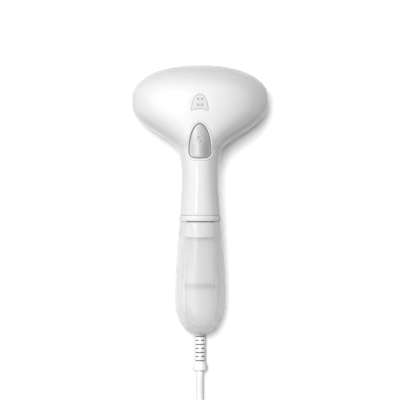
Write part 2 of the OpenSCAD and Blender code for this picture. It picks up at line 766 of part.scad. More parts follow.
back_cover();
front_shell();
plate_bezel();
plate_gasket();
steam_plate();
boiler_base();
boiler_lid();
heating_element();
boiler_screws();
thermostat();
thermal_fuse();
heat_shield();
control_board();
board_parts();
micro_switch();
switch_plunger();
steam_button();
button_springs();
button_bezel();
indicator_window();
indicator_leds();
handle_collar();
tank_dock();
dock_seal();
lower_spine();
pump_body();
pump_coil();
pump_piston();
suction_tube();
water_tube();
mains_leads();
heater_leads();
inner_cord();
cord_clamp();
case_screws();
tank_shell();
tank_closure();
tank_cap();
tank_valve();
strain_relief();
cord_run();
cord_coil();
cord_lead();
cord_tie();
plug_body();
plug_pins();
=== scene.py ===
"""Looks of the garment steamer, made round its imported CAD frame.

The shape functions use the CAD source's millimetres; at() turns a point into metres.
"""

import json
import math

import bmesh
import bpy
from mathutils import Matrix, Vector
from mathutils.geometry import delaunay_2d_cdt


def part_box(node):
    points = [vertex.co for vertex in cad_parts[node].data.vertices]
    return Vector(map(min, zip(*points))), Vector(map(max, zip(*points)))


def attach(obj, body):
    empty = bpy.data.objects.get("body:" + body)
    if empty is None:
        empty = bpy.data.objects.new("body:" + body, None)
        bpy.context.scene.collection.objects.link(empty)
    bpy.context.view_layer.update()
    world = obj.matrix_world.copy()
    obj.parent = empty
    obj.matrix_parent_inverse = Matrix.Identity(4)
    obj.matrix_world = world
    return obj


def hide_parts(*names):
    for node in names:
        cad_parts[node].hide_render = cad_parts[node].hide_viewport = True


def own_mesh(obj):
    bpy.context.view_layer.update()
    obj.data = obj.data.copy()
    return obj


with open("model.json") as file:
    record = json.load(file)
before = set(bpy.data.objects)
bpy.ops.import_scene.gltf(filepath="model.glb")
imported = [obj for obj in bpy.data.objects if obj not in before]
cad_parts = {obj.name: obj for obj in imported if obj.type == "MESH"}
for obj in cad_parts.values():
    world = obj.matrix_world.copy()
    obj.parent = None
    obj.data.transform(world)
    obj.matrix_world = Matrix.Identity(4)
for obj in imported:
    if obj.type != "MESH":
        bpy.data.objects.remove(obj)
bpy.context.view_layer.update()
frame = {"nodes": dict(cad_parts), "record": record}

MM = 0.001


def at(x, y, z):
    return (x * MM, y * MM, z * MM)


def span(node):
    low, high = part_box(node)
    return low / MM, high / MM


# ---------------------------------------------------------------- sizes from the CAD
shell_low, shell_high = span("front_shell")
cover_high = span("back_cover")[1]
tank_low = span("tank_shell")[0]
spine_high = span("lower_spine")[1]
coil_low, coil_high = span("cord_coil")
plug_low, plug_high = span("plug_body")
pins_low, pins_high = span("plug_pins")
tie_low, tie_high = span("cord_tie")
plate_low, plate_high = span("steam_plate")
button_low, button_high = span("steam_button")
window_low = span("indicator_window")[0]
collar_low, collar_high = span("handle_collar")
closure_low, closure_high = span("tank_closure")

HEAD_W = shell_high.x - shell_low.x
HEAD_TOP = 35.2
HEAD_H = round(cover_high.z)
SHOULDER_LEN = 53.5
NECK_W = 36.8
TANK_W = 52.4
TANK_H = 46
FINGER_H = 24
SEAM_H = 50
WALL = 2.4
TANK_WALL = 1.8

# Places along the body, from the head's widest line down.
SEAM_Y = -20
SHOULDER_Y = -25
CHIN_Y = -38
NECK_Y = -78
FINGER_Y = -84
SCREW_Y = -92
COLLAR_Y = round(shell_low.y)
DOCK_Y = -124
BELLY_Y = -150
TONGUE_Y = -187.5
TAIL_Y = -204
RAIL_SCREW_Y = -212
END_Y = round(tank_low.y)
TAIL_LEN = TAIL_Y - END_Y

# Lengths over which the body's widths and heights change.
GRIP_LEN = 117
BACK_LEN = 200
CHIN_LEN = 40
FINGER_LEN = 126
MID_RISE_LEN = 50
MID_FALL_LEN = 112
SEAM_LEN = 46
ROUND_LEN = 45
SQUARE_LEN = 50

# Heights of the widest level, of the seam's low end, of the lowest skin, and of the centre lines.
HEAD_MID = 24
NECK_MID = 43
SEAM_LOW_H = 40
SKIN_Z = 2
CAP_Z = 43
RELIEF_Z = 11

# Exponents of the rounded outlines: 2 is an ellipse, and more is squarer. DOWN_ROUND is
# taken off DOWN_N at the handle. The bends shift a smooth step towards its start or its end.
UP_N = 2.3
OVAL_N = 2.2
TAIL_N = 2.15
DOWN_N = 4
DOWN_ROUND = 1.6
SHOULDER_BEND = 1.3
BACK_BEND = 0.95


# ---------------------------------------------------------------- the body's shape
def ease(t):
    c = min(max(t, 0), 1)
    return c * c * (3 - 2 * c)


def mix(a, b, t):
    return a + (b - a) * t


def dome(r, n):
    return max(1 - min(abs(r), 1) ** n, 0) ** (1 / n)


def power(v, p):
    return math.copysign(abs(v) ** p, v)


def neck_half(y):
    spread, start = 0.004, -82
    return NECK_W / 2 + spread * max(y - start, 0) ** 2


def side(y, t=0):
    """Half of the body's width at y, inset by t."""
    if y >= 0:
        return (HEAD_W / 2 - t) * dome(y / (HEAD_TOP - t), OVAL_N)
    if y > NECK_Y:
        return mix(HEAD_W / 2, neck_half(y), ease((-y / SHOULDER_LEN) ** SHOULDER_BEND)) - t
    if y > TAIL_Y:
        return mix(NECK_W / 2, TANK_W / 2, ease((NECK_Y - y) / GRIP_LEN)) - t
    return (TANK_W / 2 - t) * dome((TAIL_Y - y) / (TAIL_LEN - t), TAIL_N)


def back(y):
    return mix(HEAD_H, TANK_H, ease((max(-y, 0) / BACK_LEN) ** BACK_BEND))


def front(y):
    if y > FINGER_Y:
        return mix(SKIN_Z, FINGER_H, ease((CHIN_Y - y) / CHIN_LEN))
    return FINGER_H * (1 - ease((FINGER_Y - y) / FINGER_LEN))


def mid(y):
    if y > NECK_Y:
        return mix(HEAD_MID, NECK_MID, ease((SHOULDER_Y - y) / MID_RISE_LEN))
    return mix(NECK_MID, HEAD_MID, ease((NECK_Y - y) / MID_FALL_LEN))


def seam(y):
    return max(mid(y) + 1, mix(SEAM_H, SEAM_LOW_H, ease((SEAM_Y - y) / SEAM_LEN)))


def reach_in_oval(a, b, n):
    """1 on the unit superellipse, and less inside it."""
    return (abs(a) ** n + abs(b) ** n) ** (1 / n)


def share(x, y, t=0):
    """How far a point is from the centre line, as a share of the way to the silhouette."""
    if y > 0:
        return reach_in_oval(x / (HEAD_W / 2 - t), y / (HEAD_TOP - t), OVAL_N)
    if y > TAIL_Y:
        return abs(x) / side(y, t)
    return reach_in_oval(x / (TANK_W / 2 - t), (TAIL_Y - y) / (TAIL_LEN - t), TAIL_N)


def down_n(y):
    """The front's exponent: squarest at the head and the tank, rounder at the handle."""
    rounder = DOWN_ROUND * ease((SHOULDER_Y - y) / ROUND_LEN)
    return DOWN_N - rounder + DOWN_ROUND * ease((BELLY_Y - y) / SQUARE_LEN)


def up_z(x, y, t=0):
    return mid(y) + (back(y) - t - mid(y)) * dome(share(x, y, t), UP_N)


def down_z(x, y, t=0):
    return mid(y) - (mid(y) - front(y) - t) * dome(share(x, y, t), down_n(y))


def seam_level(y):
    return (seam(y) - mid(y)) / (back(y) - mid(y))


# ---------------------------------------------------------------- camera
VIEW_Y = -102.5
VIEW_WIDE = 405.8
VIEW_PLANE = 37
VIEW_FAR = 1500


def add_camera():
    data = bpy.data.cameras.new("camera")
    data.sensor_width = 36
    data.lens = data.sensor_width * VIEW_FAR / VIEW_WIDE
    data.clip_start, data.clip_end = 0.05, 20
    camera = bpy.data.objects.new("camera", data)
    camera.location = at(0, VIEW_Y, VIEW_PLANE + VIEW_FAR)
    bpy.context.scene.collection.objects.link(camera)
    bpy.context.scene.camera = camera


add_camera()


# ---------------------------------------------------------------- materials
def remapped(tree, value, low, high, start=0, end=1, smooth=False):
    """A value from start to end, stretched to run from low to high."""
    node = tree.nodes.new("ShaderNodeMapRange")
    node.interpolation_type = "SMOOTHSTEP" if smooth else "LINEAR"
    limits = {"From Min": start, "From Max": end, "To Min": low, "To Max": high}
    for name, limit in limits.items():
        node.inputs[name].default_value = limit
    tree.links.new(value, node.inputs["Value"])
    return node.outputs["Result"]


class Shader:
    """A Principled material whose colour, roughness and bump come from noise."""

    def __init__(self, name, slot_name=None):
        self.material = bpy.data.materials.new(name)
        self.material.use_nodes = True
        self.slot = slot_name
        self.tree = self.material.node_tree
        self.nodes = self.tree.nodes
        self.links = self.tree.links
        self.main = self.nodes["Principled BSDF"]
        self.place = self.nodes.new("ShaderNodeTexCoord").outputs["Object"]

    def noise(self, scale, detail=3, stretch=(1, 1, 1)):
        spread = self.nodes.new("ShaderNodeMapping")
        spread.inputs["Scale"].default_value = stretch
        self.links.new(self.place, spread.inputs["Vector"])
        noise = self.nodes.new("ShaderNodeTexNoise")
        noise.inputs["Scale"].default_value = scale
        noise.inputs["Detail"].default_value = detail
        self.links.new(spread.outputs["Vector"], noise.inputs["Vector"])
        return noise.outputs["Fac"]

    def colour(self, value, low, high):
        ramp = self.nodes.new("ShaderNodeValToRGB")
        ramp.color_ramp.elements[0].position = 0.3
        ramp.color_ramp.elements[1].position = 0.7
        ramp.color_ramp.elements[0].color = (*low, 1)
        ramp.color_ramp.elements[1].color = (*high, 1)
        self.links.new(value, ramp.inputs["Fac"])
        self.links.new(ramp.outputs["Color"], self.main.inputs["Base Color"])

    def rough(self, value, low, high):
        self.links.new(remapped(self.tree, value, low, high), self.main.inputs["Roughness"])

    def bump(self, value, strength, depth=0.0002):
        bump = self.nodes.new("ShaderNodeBump")
        bump.inputs["Strength"].default_value = strength
        bump.inputs["Distance"].default_value = depth
        self.links.new(value, bump.inputs["Height"])
        self.links.new(bump.outputs["Normal"], self.main.inputs["Normal"])

    def set(self, **values):
        for name, value in values.items():
            self.main.inputs[name.replace("_", " ")].default_value = value
        return self


def grey(level, warm=0.0):
    return (level + warm, level, level - warm)


def moulded(name, slot_name, level, rough, grain=0.04, warm=0.0):
    """Injection moulded plastic: almost even colour with a faint flow, and a fine skin."""
    shader = Shader(name, slot_name)
    flow = shader.noise(18)
    shader.colour(flow, grey(level * 0.985, warm), grey(level, warm))
    shader.rough(shader.noise(60), rough * 0.9, rough * 1.1)
    shader.bump(shader.noise(2600, 2), grain)
    return shader


def housing_white():
    shader = moulded("housing_white", "housing_white", 0.82, 0.3, 0.02)
    return shader.set(Coat_Weight=0.5, Coat_Roughness=0.04)


def spine_white():
    return moulded("spine_white", "spine_white", 0.64, 0.36, 0.03)


def tank_frost():
    """Thin frosted plastic, which thickens towards its outline, with a faint painted glow standing in
    for light scattered inside it.
    """
    shader = moulded("tank_frost", "tank_frost", 0.95, 0.3, 0.1)
    edge = shader.nodes.new("ShaderNodeLayerWeight")
    edge.inputs["Blend"].default_value = 0.25
    alpha = remapped(shader.tree, edge.outputs["Facing"], 0.24, 0.7)
    shader.links.new(alpha, shader.main.inputs["Alpha"])
    # Painted glow: a faint even emission that brightens the tank as if light were scattered through it.
    shader.set(Emission_Color=(1, 1, 1, 1), Emission_Strength=0.08)
    return shader.set(Coat_Weight=1.0, Coat_Roughness=0.24, Coat_IOR=2.0)


def button_silver():
    """Satin metallic paint with a faint fleck."""
    shader = Shader("button_silver", "button_silver")
    fleck = shader.noise(900, 2)
    shader.colour(fleck, grey(0.76), grey(0.82))
    shader.rough(shader.noise(420, 3), 0.34, 0.42)
    shader.bump(fleck, 0.03)
    return shader.set(Metallic=0.55)


def window_grey():
    shader = moulded("window_grey", "window_grey", 0.72, 0.3, 0.02)
    return shader.set(Coat_Weight=0.3)


def lamp():
    return moulded("lamp", "lamp", 0.5, 0.3, 0.02).set(Coat_Weight=0.4)


def bezel_grey():
    return moulded("bezel_grey", "bezel_grey", 0.72, 0.5, 0.1)


def cap_grey():
    return moulded("cap_grey", "cap_grey", 0.34, 0.45, 0.08)


def inner_white():
    return moulded("inner_white", "inner_white", 0.74, 0.48, 0.08)


def cord_white():
    """Soft PVC, with a faint painted glow that brightens it as if light passed through it."""
    shader = moulded("cord_white", "cord_white", 0.93, 0.42, 0.06)
    # Painted glow: a faint even emission standing in for light, shared by the cord, the relief and the
    # plug.
    return shader.set(Emission_Color=(1, 1, 1, 1), Emission_Strength=0.06)


def rubber(name, slot_name, level):
    return moulded(name, slot_name, level, 0.72, 0.2)


def metal(name, slot_name, level, rough, stretch=(1, 1, 1), scale=900, warm=0.0):
    shader = Shader(name, slot_name)
    streak = shader.noise(scale, 4, stretch)
    shader.colour(streak, grey(level * 0.9, warm), grey(level, warm))
    shader.rough(streak, rough * 0.8, rough * 1.2)
    shader.bump(streak, 0.06)
    return shader.set(Metallic=1.0)


def fuse_tan():
    return moulded("fuse_tan", "fuse_tan", 0.5, 0.7, 0.15, 0.12)


def tinted(name, slot_name, low, high, rough):
    shader = Shader(name, slot_name)
    shader.colour(shader.noise(220), low, high)
    shader.rough(shader.noise(80), rough * 0.9, rough * 1.1)
    shader.bump(shader.noise(1500, 2), 0.08)
    return shader


LOOKS = {
    shader.slot: shader
    for shader in [
        housing_white(),
        spine_white(),
        tank_frost(),
        button_silver(),
        window_grey(),
        lamp(),
        bezel_grey(),
        cap_grey(),
        inner_white(),
        cord_white(),
        fuse_tan(),
        metal("steel_plate", "steel_plate", 0.62, 0.3, (0.05, 1, 1)),
        metal("cast_alloy", "cast_alloy", 0.5, 0.5, scale=300),
        metal("element_steel", "element_steel", 0.32, 0.42),
        metal("screw_steel", "screw_steel", 0.5, 0.34),
        metal("pin_metal", "pin_metal", 0.66, 0.2, (1, 0.05, 1), warm=0.02),
        metal("coil_copper", "coil_copper", 0.42, 0.35, (0.1, 1, 1), warm=0.16),
        rubber("silicone_grey", "silicone_grey", 0.2),
        rubber("lead_black", "lead_black", 0.03),
        rubber("part_black", "part_black", 0.04),
        tinted("board_green", "board_green", (0.01, 0.1, 0.04), (0.02, 0.14, 0.06), 0.4),
        tinted("part_red", "part_red", (0.36, 0.02, 0.02), (0.44, 0.03, 0.02), 0.5),
    ]
}


def paint(obj, slot_name):
    obj.data.materials.clear()
    obj.data.materials.append(LOOKS[slot_name].material)


# ---------------------------------------------------------------- mesh building
def link(name, data):
    obj = bpy.data.objects.new(name, data)
    bpy.context.scene.collection.objects.link(obj)
    return obj


def mesh_of(name, points, faces):
    """A mesh from points in millimetres."""
    mesh = bpy.data.meshes.new(name)
    mesh.from_pydata([at(*p) for p in points], [], faces)
    mesh.validate()
    return link(name, mesh)


def bake(obj, sharp=34):
    """Applies the modifiers, and shades everything flatter than the angle smooth."""
    tree = bpy.context.evaluated_depsgraph_get()
    mesh = bpy.data.meshes.new_from_object(obj.evaluated_get(tree))
    obj.modifiers.clear()
    obj.data = mesh
    mesh.shade_smooth()
    mesh.set_sharp_from_angle(angle=math.radians(sharp))
    return obj


def thicken(obj, wall):
    solid = obj.modifiers.new("wall", "SOLIDIFY")
    solid.thickness = wall * MM
    solid.offset = -1
    solid.use_even_offset = False


def soften(obj, width, segments=2, angle=40):
    bevel = obj.modifiers.new("edge", "BEVEL")
    bevel.width = width * MM
    bevel.segments = segments
    bevel.limit_method = "ANGLE"
    bevel.angle_limit = math.radians(angle)


def cut(obj, *tools, operation="DIFFERENCE"):
    """Cuts the tools out of obj, or keeps what they share, then removes the tools."""
    for tool in tools:
        change = obj.modifiers.new("cut", "BOOLEAN")
        change.operation = operation
        change.solver = "EXACT"
        change.object = tool
        tree = bpy.context.evaluated_depsgraph_get()
        mesh = bpy.data.meshes.new_from_object(obj.evaluated_get(tree))
        obj.modifiers.clear()
        obj.data = mesh
        bpy.data.objects.remove(tool)
    return obj


def finish_piece(obj, slot_name, body, *nodes):
    paint(obj, slot_name)
    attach(obj, body)
    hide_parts(*nodes)
    return obj


def wall_faces(loops, count, start=0):
    """Faces between closed loops of count points, each joined to the next."""
    return [
        (a + j, a + (j + 1) % count, a + count + (j + 1) % count, a + count + j)
        for a in range(start, start + (loops - 1) * count, count)
        for j in range(count)
    ]


def stacked(name, loops, ends="flat"):
    """A solid through closed loops with the same count, one after the other.
    ends is "flat" for capped ends, or "ring" where the last loop meets the first."""
    n, m = len(loops), len(loops[0])
    points = [p for loop in loops for p in loop]
    faces = wall_faces(n, m)
    if ends == "flat":
        faces.append(tuple(reversed(range(m))))
        faces.append(tuple(range((n - 1) * m, n * m)))
    else:
        last = (n - 1) * m
        faces += [(last + j, last + (j + 1) % m, (j + 1) % m, j) for j in range(m)]
    obj = mesh_of(name, points, faces)
    turn_outward(obj)
    return obj


def turn_outward(obj):
    """Turns every face of a closed mesh outward."""
    work = bmesh.new()
    work.from_mesh(obj.data)
    bmesh.ops.remove_doubles(work, verts=work.verts, dist=1e-7)
    bmesh.ops.recalc_face_normals(work, faces=work.faces)
    work.to_mesh(obj.data)
    work.free()


def capped(name, top, faces, loops):
    """A solid under a top sheet: the loops run down from the sheet's edge to a flat floor."""
    start, count = len(top), len(loops[0])
    faces = faces + wall_faces(len(loops), count, start)
    last = start + (len(loops) - 1) * count
    faces.append(tuple(range(last, last + count)))
    obj = mesh_of(name, top + [p for loop in loops for p in loop], faces)
    turn_outward(obj)
    return bake(obj, 50)


def joined(name, parts):
    """One object from several meshes."""
    points, faces = [], []
    for part in parts:
        start = len(points)
        points += [tuple(v.co / MM) for v in part.data.vertices]
        faces += [tuple(start + i for i in p.vertices) for p in part.data.polygons]
        bpy.data.objects.remove(part)
    obj = mesh_of(name, points, faces)
    return bake(obj, 50)


def block(x0, x1, y0, y1, z0, z1):
    plan = [(x0, y0), (x1, y0), (x1, y1), (x0, y1)]
    return stacked("block", [level(plan, z0), level(plan, z1)])


def circle(x, y, r, count=24):
    turn = [2 * math.pi * k / count for k in range(count)]
    return [(x + r * math.cos(a), y + r * math.sin(a)) for a in turn]


def level(loop, z):
    return [(x, y, z) for x, y in loop]


def lathe_y(name, profile, x, z, sides=64):
    """A solid of revolution about a line along Y, from (radius, y) pairs."""
    return stacked(name, [[(a, y, b) for a, b in circle(x, z, r, sides)] for r, y in profile])


def rod_z(name, x, y, z0, z1, r):
    return stacked(name, [level(circle(x, y, r, 40), z) for z in (z0, z1)])


def inside(p, outline):
    """True if the flat point lies within the closed outline."""
    x, y = p
    found = False
    for (ax, ay), (bx, by) in zip(outline, outline[1:] + outline[:1]):
        if (ay > y) != (by > y) and x < (bx - ax) * (y - ay) / (by - ay) + ax:
            found = not found
    return found


def filled(outline, holes, extra, clear):
    """Triangles over a flat outline with holes.
    The extra points are kept where they are clear of every edge."""
    loops = [outline, *holes]
    edge_points = [p for loop in loops for p in loop]
    bins = {}
    for p in edge_points:
        bins.setdefault((round(p[0] / clear), round(p[1] / clear)), []).append(p)

    def is_clear(p):
        i, j = round(p[0] / clear), round(p[1] / clear)
        near = [q for a in (-1, 0, 1) for b in (-1, 0, 1) for q in bins.get((i + a, j + b), [])]
        return all((p[0] - q[0]) ** 2 + (p[1] - q[1]) ** 2 > clear**2 for q in near)

    kept = [p for p in extra if is_clear(p)]
    edges, start = [], 0
    for loop in loops:
        n = len(loop)
        edges += [(start + k, start + (k + 1) % n) for k in range(n)]
        start += n
    points = [Vector(p) for p in edge_points + kept]
    verts, _, faces, _, _, _ = delaunay_2d_cdt(points, edges, [], 0, 1e-5)
    flat = [tuple(v) for v in verts]
    result = []
    for face in faces:
        centre = tuple(sum(flat[i][k] for i in face) / len(face) for k in (0, 1))
        if inside(centre, outline) and not any(inside(centre, hole) for hole in holes):
            result.append(face)
    used = sorted({i for face in result for i in face})
    place = {old: new for new, old in enumerate(used)}
    return [flat[i] for i in used], [[place[i] for i in face] for face in result]


# ---------------------------------------------------------------- outlines in the plan
BUTTON_W = button_high.x - button_low.x
BUTTON_WIDE_Y = -52.9
BUTTON_UP = 25.7
BUTTON_DOWN = 7.8
BUTTON_UP_N = 1.95
BUTTON_DOWN_N = 3.2
WINDOW_HALF = 8.2
WINDOW_Y = -14.4
WINDOW_LEN = 16.4
WINDOW_HOLLOW = 2
WINDOW_N = 2.1
PLATE_Y = (plate_low.y + plate_high.y) / 2
PLATE_A = (plate_high.x - plate_low.x) / 2
PLATE_B = (plate_high.y - plate_low.y) / 2
SCREW_R = 1.5
SCREW_HEAD_R = 3
RAIL_SCREW_X = 9


def button_edge(d, count=96):
    """The button's arch, grown by d."""
    loop = []
    for k in range(count):
        a = 2 * math.pi * k / count
        n, reach = (BUTTON_UP_N, BUTTON_UP) if k < count / 2 else (BUTTON_DOWN_N, BUTTON_DOWN)
        x = (BUTTON_W / 2 + d) * power(math.cos(a), 2 / n)
        loop.append((x, BUTTON_WIDE_Y + (reach + d) * power(math.sin(a), 2 / n)))
    return loop


def window_edge(d):
    """The window's arch with its hollow foot, grown by d."""
    half, tall, foot = WINDOW_HALF + d, WINDOW_LEN + 2 * d, WINDOW_Y - d
    loop = []
    for k in range(41):
        f = math.cos(math.pi * k / 40)
        loop.append((half * f, foot + tall * dome(f, WINDOW_N)))
    for k in range(-9, 10):
        loop.append((half * k / 10, foot + WINDOW_HOLLOW * (1 - (k / 10) ** 2)))
    return loop


def oval(inset, count=120):
    """The steam plate's outline, moved inward by inset."""
    loop = []
    for k in range(count):
        a = 2 * math.pi * k / count
        x = (PLATE_A - inset) * power(math.cos(a), 2 / OVAL_N)
        loop.append((x, PLATE_Y + (PLATE_B - inset) * power(math.sin(a), 2 / OVAL_N)))
    return loop


# ---------------------------------------------------------------- the housing's two skins
# A skin is laid out on a flat sheet: v runs along the body, and u is the angle
# round it. Above the head's widest line the sheet is a half disc round its centre.
# On the front skin the angle runs on past the silhouette, by BAND, up to the seam.
U_SCALE = 45
V_SCALE = HEAD_TOP / (math.pi / 2)
BAND = 0.5
STEP = math.radians(3)
SEAM_GAP = 0.004
BEZEL_HOLE = 3.1
PLATE_HOLE = 3.9


def sheet_of(x, y):
    """Where the plan point (x, y) lies on the sheet."""
    if y <= 0:
        return (U_SCALE * math.asin(max(-1, min(1, x / side(y)))), y)
    angle = math.atan2(y / HEAD_TOP, x / (HEAD_W / 2))
    reach = math.asin(min(share(x, y), 1))
    return (U_SCALE * reach * math.cos(angle), V_SCALE * reach * math.sin(angle))


def plan_of(u, v, shrink=None):
    """The plan point at a place on the sheet, and its reach as an angle."""
    if v <= 0:
        reach = abs(u) / U_SCALE
        r = math.sin(min(reach, math.pi / 2)) if shrink is None else shrink(v, reach)
        return math.copysign(side(v) * r, u), v, reach
    a, b = u / U_SCALE, v / V_SCALE
    reach, angle = math.hypot(a, b), math.atan2(b, a)
    r = math.sin(min(reach, math.pi / 2)) if shrink is None else shrink(0, reach)
    c, s = math.cos(angle), math.sin(angle)
    n = reach_in_oval(c, s, OVAL_N)
    return HEAD_W / 2 * r * c / n, HEAD_TOP * r * s / n, reach


def band_share(y, reach):
    """Share of the silhouette below it, and above it where the front skin turns in."""
    if reach <= math.pi / 2:
        return math.sin(reach)
    return dome(seam_level(y) * (reach - math.pi / 2) / BAND, UP_N)


def back_point(u, v):
    x, y, _ = plan_of(u, v)
    return x, y, up_z(x, y)


def front_point(u, v):
    x, y, reach = plan_of(u, v, band_share)
    if reach <= math.pi / 2:
        return x, y, down_z(x, y)
    rise = (reach - math.pi / 2) / BAND
    return x, y, mid(y) + seam_level(y) * rise * (back(y) - mid(y))


def skin_layout(reach_at):
    """The sheet's outline and its inner points, where reach_at(y) is the edge's angle."""
    head_rows = [-2.0 * k for k in range(31)]
    rows = head_rows + [head_rows[-1] - 2.9 * k for k in range(1, 20)] + [COLLAR_Y]
    arc = [math.pi * k / 80 for k in range(81)]
    top = reach_at(0)
    right = [(U_SCALE * reach_at(y), y) for y in rows[1:]]
    left = [(-u, y) for u, y in reversed(right)]
    end = reach_at(COLLAR_Y)
    foot = [(U_SCALE * end * (k / 20 * 2 - 1), COLLAR_Y) for k in range(1, 20)]
    crown = [(U_SCALE * top * math.cos(a), V_SCALE * top * math.sin(a)) for a in reversed(arc)]
    outline = crown + right + foot[::-1] + left
    inner = []
    for y in rows[:-1]:
        count = int(reach_at(y) / STEP)
        inner += [(U_SCALE * STEP * k, y) for k in range(-count, count + 1)]
    for ring in range(1, int(top / STEP) + 1):
        count = 4 + int(2.2 * ring)
        angles = [math.pi * k / count for k in range(1, count)]
        reach = STEP * ring
        inner += [(U_SCALE * reach * math.cos(a), V_SCALE * reach * math.sin(a)) for a in angles]
    return outline, inner


def skin(name, point, reach_at, holes, downward):
    outline, inner = skin_layout(reach_at)
    sheet_holes = [[sheet_of(x, y) for x, y in hole] for hole in holes]
    flat, faces = filled(outline, sheet_holes, inner, 1.0)
    if downward:
        faces = [tuple(reversed(f)) for f in faces]
    obj = mesh_of(name, [point(u, v) for u, v in flat], faces)
    thicken(obj, WALL)
    soften(obj, 0.45, 3)
    return bake(obj, 50)


def back_skin():
    def reach_at(y):
        return math.asin(dome(seam_level(y), UP_N)) - SEAM_GAP

    holes = [button_edge(BEZEL_HOLE), window_edge(0.25)]
    obj = skin("back_cover_skin", back_point, reach_at, holes, False)
    finish_piece(obj, "housing_white", "root", "back_cover")


def front_skin():
    holes = [oval(-PLATE_HOLE), circle(0, SCREW_Y, SCREW_HEAD_R + 0.2)]
    obj = skin("front_shell_skin", front_point, lambda y: math.pi / 2 + BAND, holes, True)
    finish_piece(obj, "housing_white", "root", "front_shell")


# ---------------------------------------------------------------- on the back of the head
def lifted(loop, rise):
    return [(x, y, up_z(x, y) + rise) for x, y in loop]


def bezel_ring():
    """The rounded ring round the button, from its outer edge to its inner one."""
    base_z = 60
    profile = [
        (3.0, -0.5), (2.95, 0.05), (2.7, 0.32), (2.2, 0.42),
        (1.6, 0.36), (1.0, 0.05), (0.6, -0.5), (0.45, -1.2),
    ]
    loops = [lifted(button_edge(d), rise) for d, rise in profile]
    loops += [level(button_edge(profile[end][0]), base_z) for end in (-1, 0)]
    obj = bake(stacked("button_bezel_ring", loops, "ring"), 50)
    finish_piece(obj, "housing_white", "root", "button_bezel")


def button_z(x, y):
    """Height of the button's crown."""
    f = 2 * x / BUTTON_W
    return up_z(x, y) + 0.6 - 1.2 * f * f


MARK_Y = -43.3
MARK_RINGS = [1.2, 1.5, 3.0, 3.35]
MARK_DEPTH = 0.45


def steam_button():
    """The silver button, with a ring-shaped mark pressed into its crown."""
    edges = [(-1.6, 0.0), (-1.1, -0.05), (-0.6, -0.2), (-0.25, -0.48), (-0.05, -0.95), (0.0, -1.6)]
    loops = [[(x, y, button_z(x, y) + drop) for x, y in button_edge(d)] for d, drop in edges]
    loops.append(level(button_edge(0), button_low.z + 1.9))
    extra = [(x * 1.5, y * 1.5) for x in range(-8, 9) for y in range(-42, -14)]
    for r in MARK_RINGS:
        extra += circle(0, MARK_Y, r, 48)
    flat, faces = filled(button_edge(edges[0][0]), [], extra, 0.7)

    def depth(x, y):
        r = math.hypot(x, y - MARK_Y)
        return -MARK_DEPTH if MARK_RINGS[1] - 0.02 < r < MARK_RINGS[2] + 0.02 else 0

    top = [(x, y, button_z(x, y) + depth(x, y)) for x, y in flat]
    obj = capped("steam_button_cap", top, faces, loops)
    finish_piece(obj, "button_silver", "button", "steam_button")


def window_lens():
    """The indicator window, a thin arch set just under the cover's skin."""
    profile = [(-0.9, -0.05), (-0.4, -0.12), (-0.1, -0.3), (0.05, -0.7)]
    loops = [lifted(window_edge(d), drop) for d, drop in profile]
    loops.append(level(window_edge(profile[-1][0]), window_low.z))
    extra = [(x, y) for x in range(-8, 9) for y in range(-14, 3)]
    inset, drop = profile[0]
    flat, faces = filled(window_edge(inset), [], extra, 0.7)
    obj = capped("indicator_lens", lifted(flat, drop), faces, loops)
    finish_piece(obj, "window_grey", "root", "indicator_window")


LAMP_X = 1.95
LAMP_Y = -2.8
LAMP_PITCH = 5.65


def lamps():
    """Four round lamp lenses in the window."""
    profile = [(1.45, -0.4), (1.42, 0.02), (1.2, 0.12), (0.7, 0.18), (0.2, 0.2)]
    parts = []
    for x, y in [(x, y) for y in (LAMP_Y, LAMP_Y - LAMP_PITCH) for x in (-LAMP_X, LAMP_X)]:
        loops = [lifted(circle(x, y, r), rise - 0.05) for r, rise in profile]
        parts.append(bake(stacked("lamp_lens", loops), 50))
    obj = joined("indicator_lamps", parts)
    finish_piece(obj, "lamp", "root", "indicator_leds")


SPRING_WIRE = 0.6
SPRING_TURNS = 7
SPRING_STEPS = 20


def return_springs():
    """The pair of coil springs under the button; here they are fixed coils on the root body and do not
    shorten as it is pressed.
    """
    low, high = span("button_springs")
    y, outer, wire = (low.y + high.y) / 2, (high.y - low.y) / 2, SPRING_WIRE / 2
    steps = SPRING_STEPS * SPRING_TURNS
    parts = []
    for x in (low.x + outer, high.x - outer):
        loops = []
        for k in range(steps + 1):
            a = 2 * math.pi * k / SPRING_STEPS
            z = mix(low.z + wire, high.z - wire, k / steps)
            ring = circle(outer - wire, z, wire, 8)
            loops.append([(x + r * math.cos(a), y + r * math.sin(a), h) for r, h in ring])
        parts.append(bake(stacked("return_spring", loops), 50))
    obj = joined("button_coil_springs", parts)
    finish_piece(obj, "element_steel", "root", "button_springs")
    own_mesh(obj)


# ---------------------------------------------------------------- collar, tank and spine
def body_loop(y, t=0.0, step=3):
    """A closed ring round the handle or the tank."""
    w = side(y, t)
    over = [math.radians(a) for a in range(-90, 91, step)]
    under = [math.radians(a) for a in range(90 - step, -90, -step)]
    loop = [(w * math.sin(a), y, up_z(w * math.sin(a), y, t)) for a in over]
    return loop + [(w * math.sin(a), y, down_z(w * math.sin(a), y, t)) for a in under]


def tank_rows(t):
    rows = [DOCK_Y - 0.6 - 2.5 * k for k in range(32)]
    arc = [math.radians(a) for a in [*range(0, 84, 4), 84, 86, 88, 89]]
    return rows + [TAIL_Y - (TAIL_LEN - t) * math.sin(a) for a in arc]


def collar():
    """The ring at the end of the handle, a hair proud of it, with rounded lips."""
    high, low = collar_high.y, collar_low.y
    lips = [
        (0, 0.5), (0.15, 0.1), (0.5, -0.28), (1.0, -0.38),
        (4.6, -0.38), (5.2, -0.3), (5.5, -0.15), (high - low, 0.2),
    ]
    loops = [body_loop(high - d, t) for d, t in lips]
    loops += [body_loop(low, WALL), body_loop(high, WALL)]
    obj = bake(stacked("collar_ring", loops, "ring"), 50)
    finish_piece(obj, "housing_white", "root", "handle_collar")


RAIL_HALF = 15.3
RAIL_H = 20
TONGUE_H = 36
SLIDE_GAP = 0.3


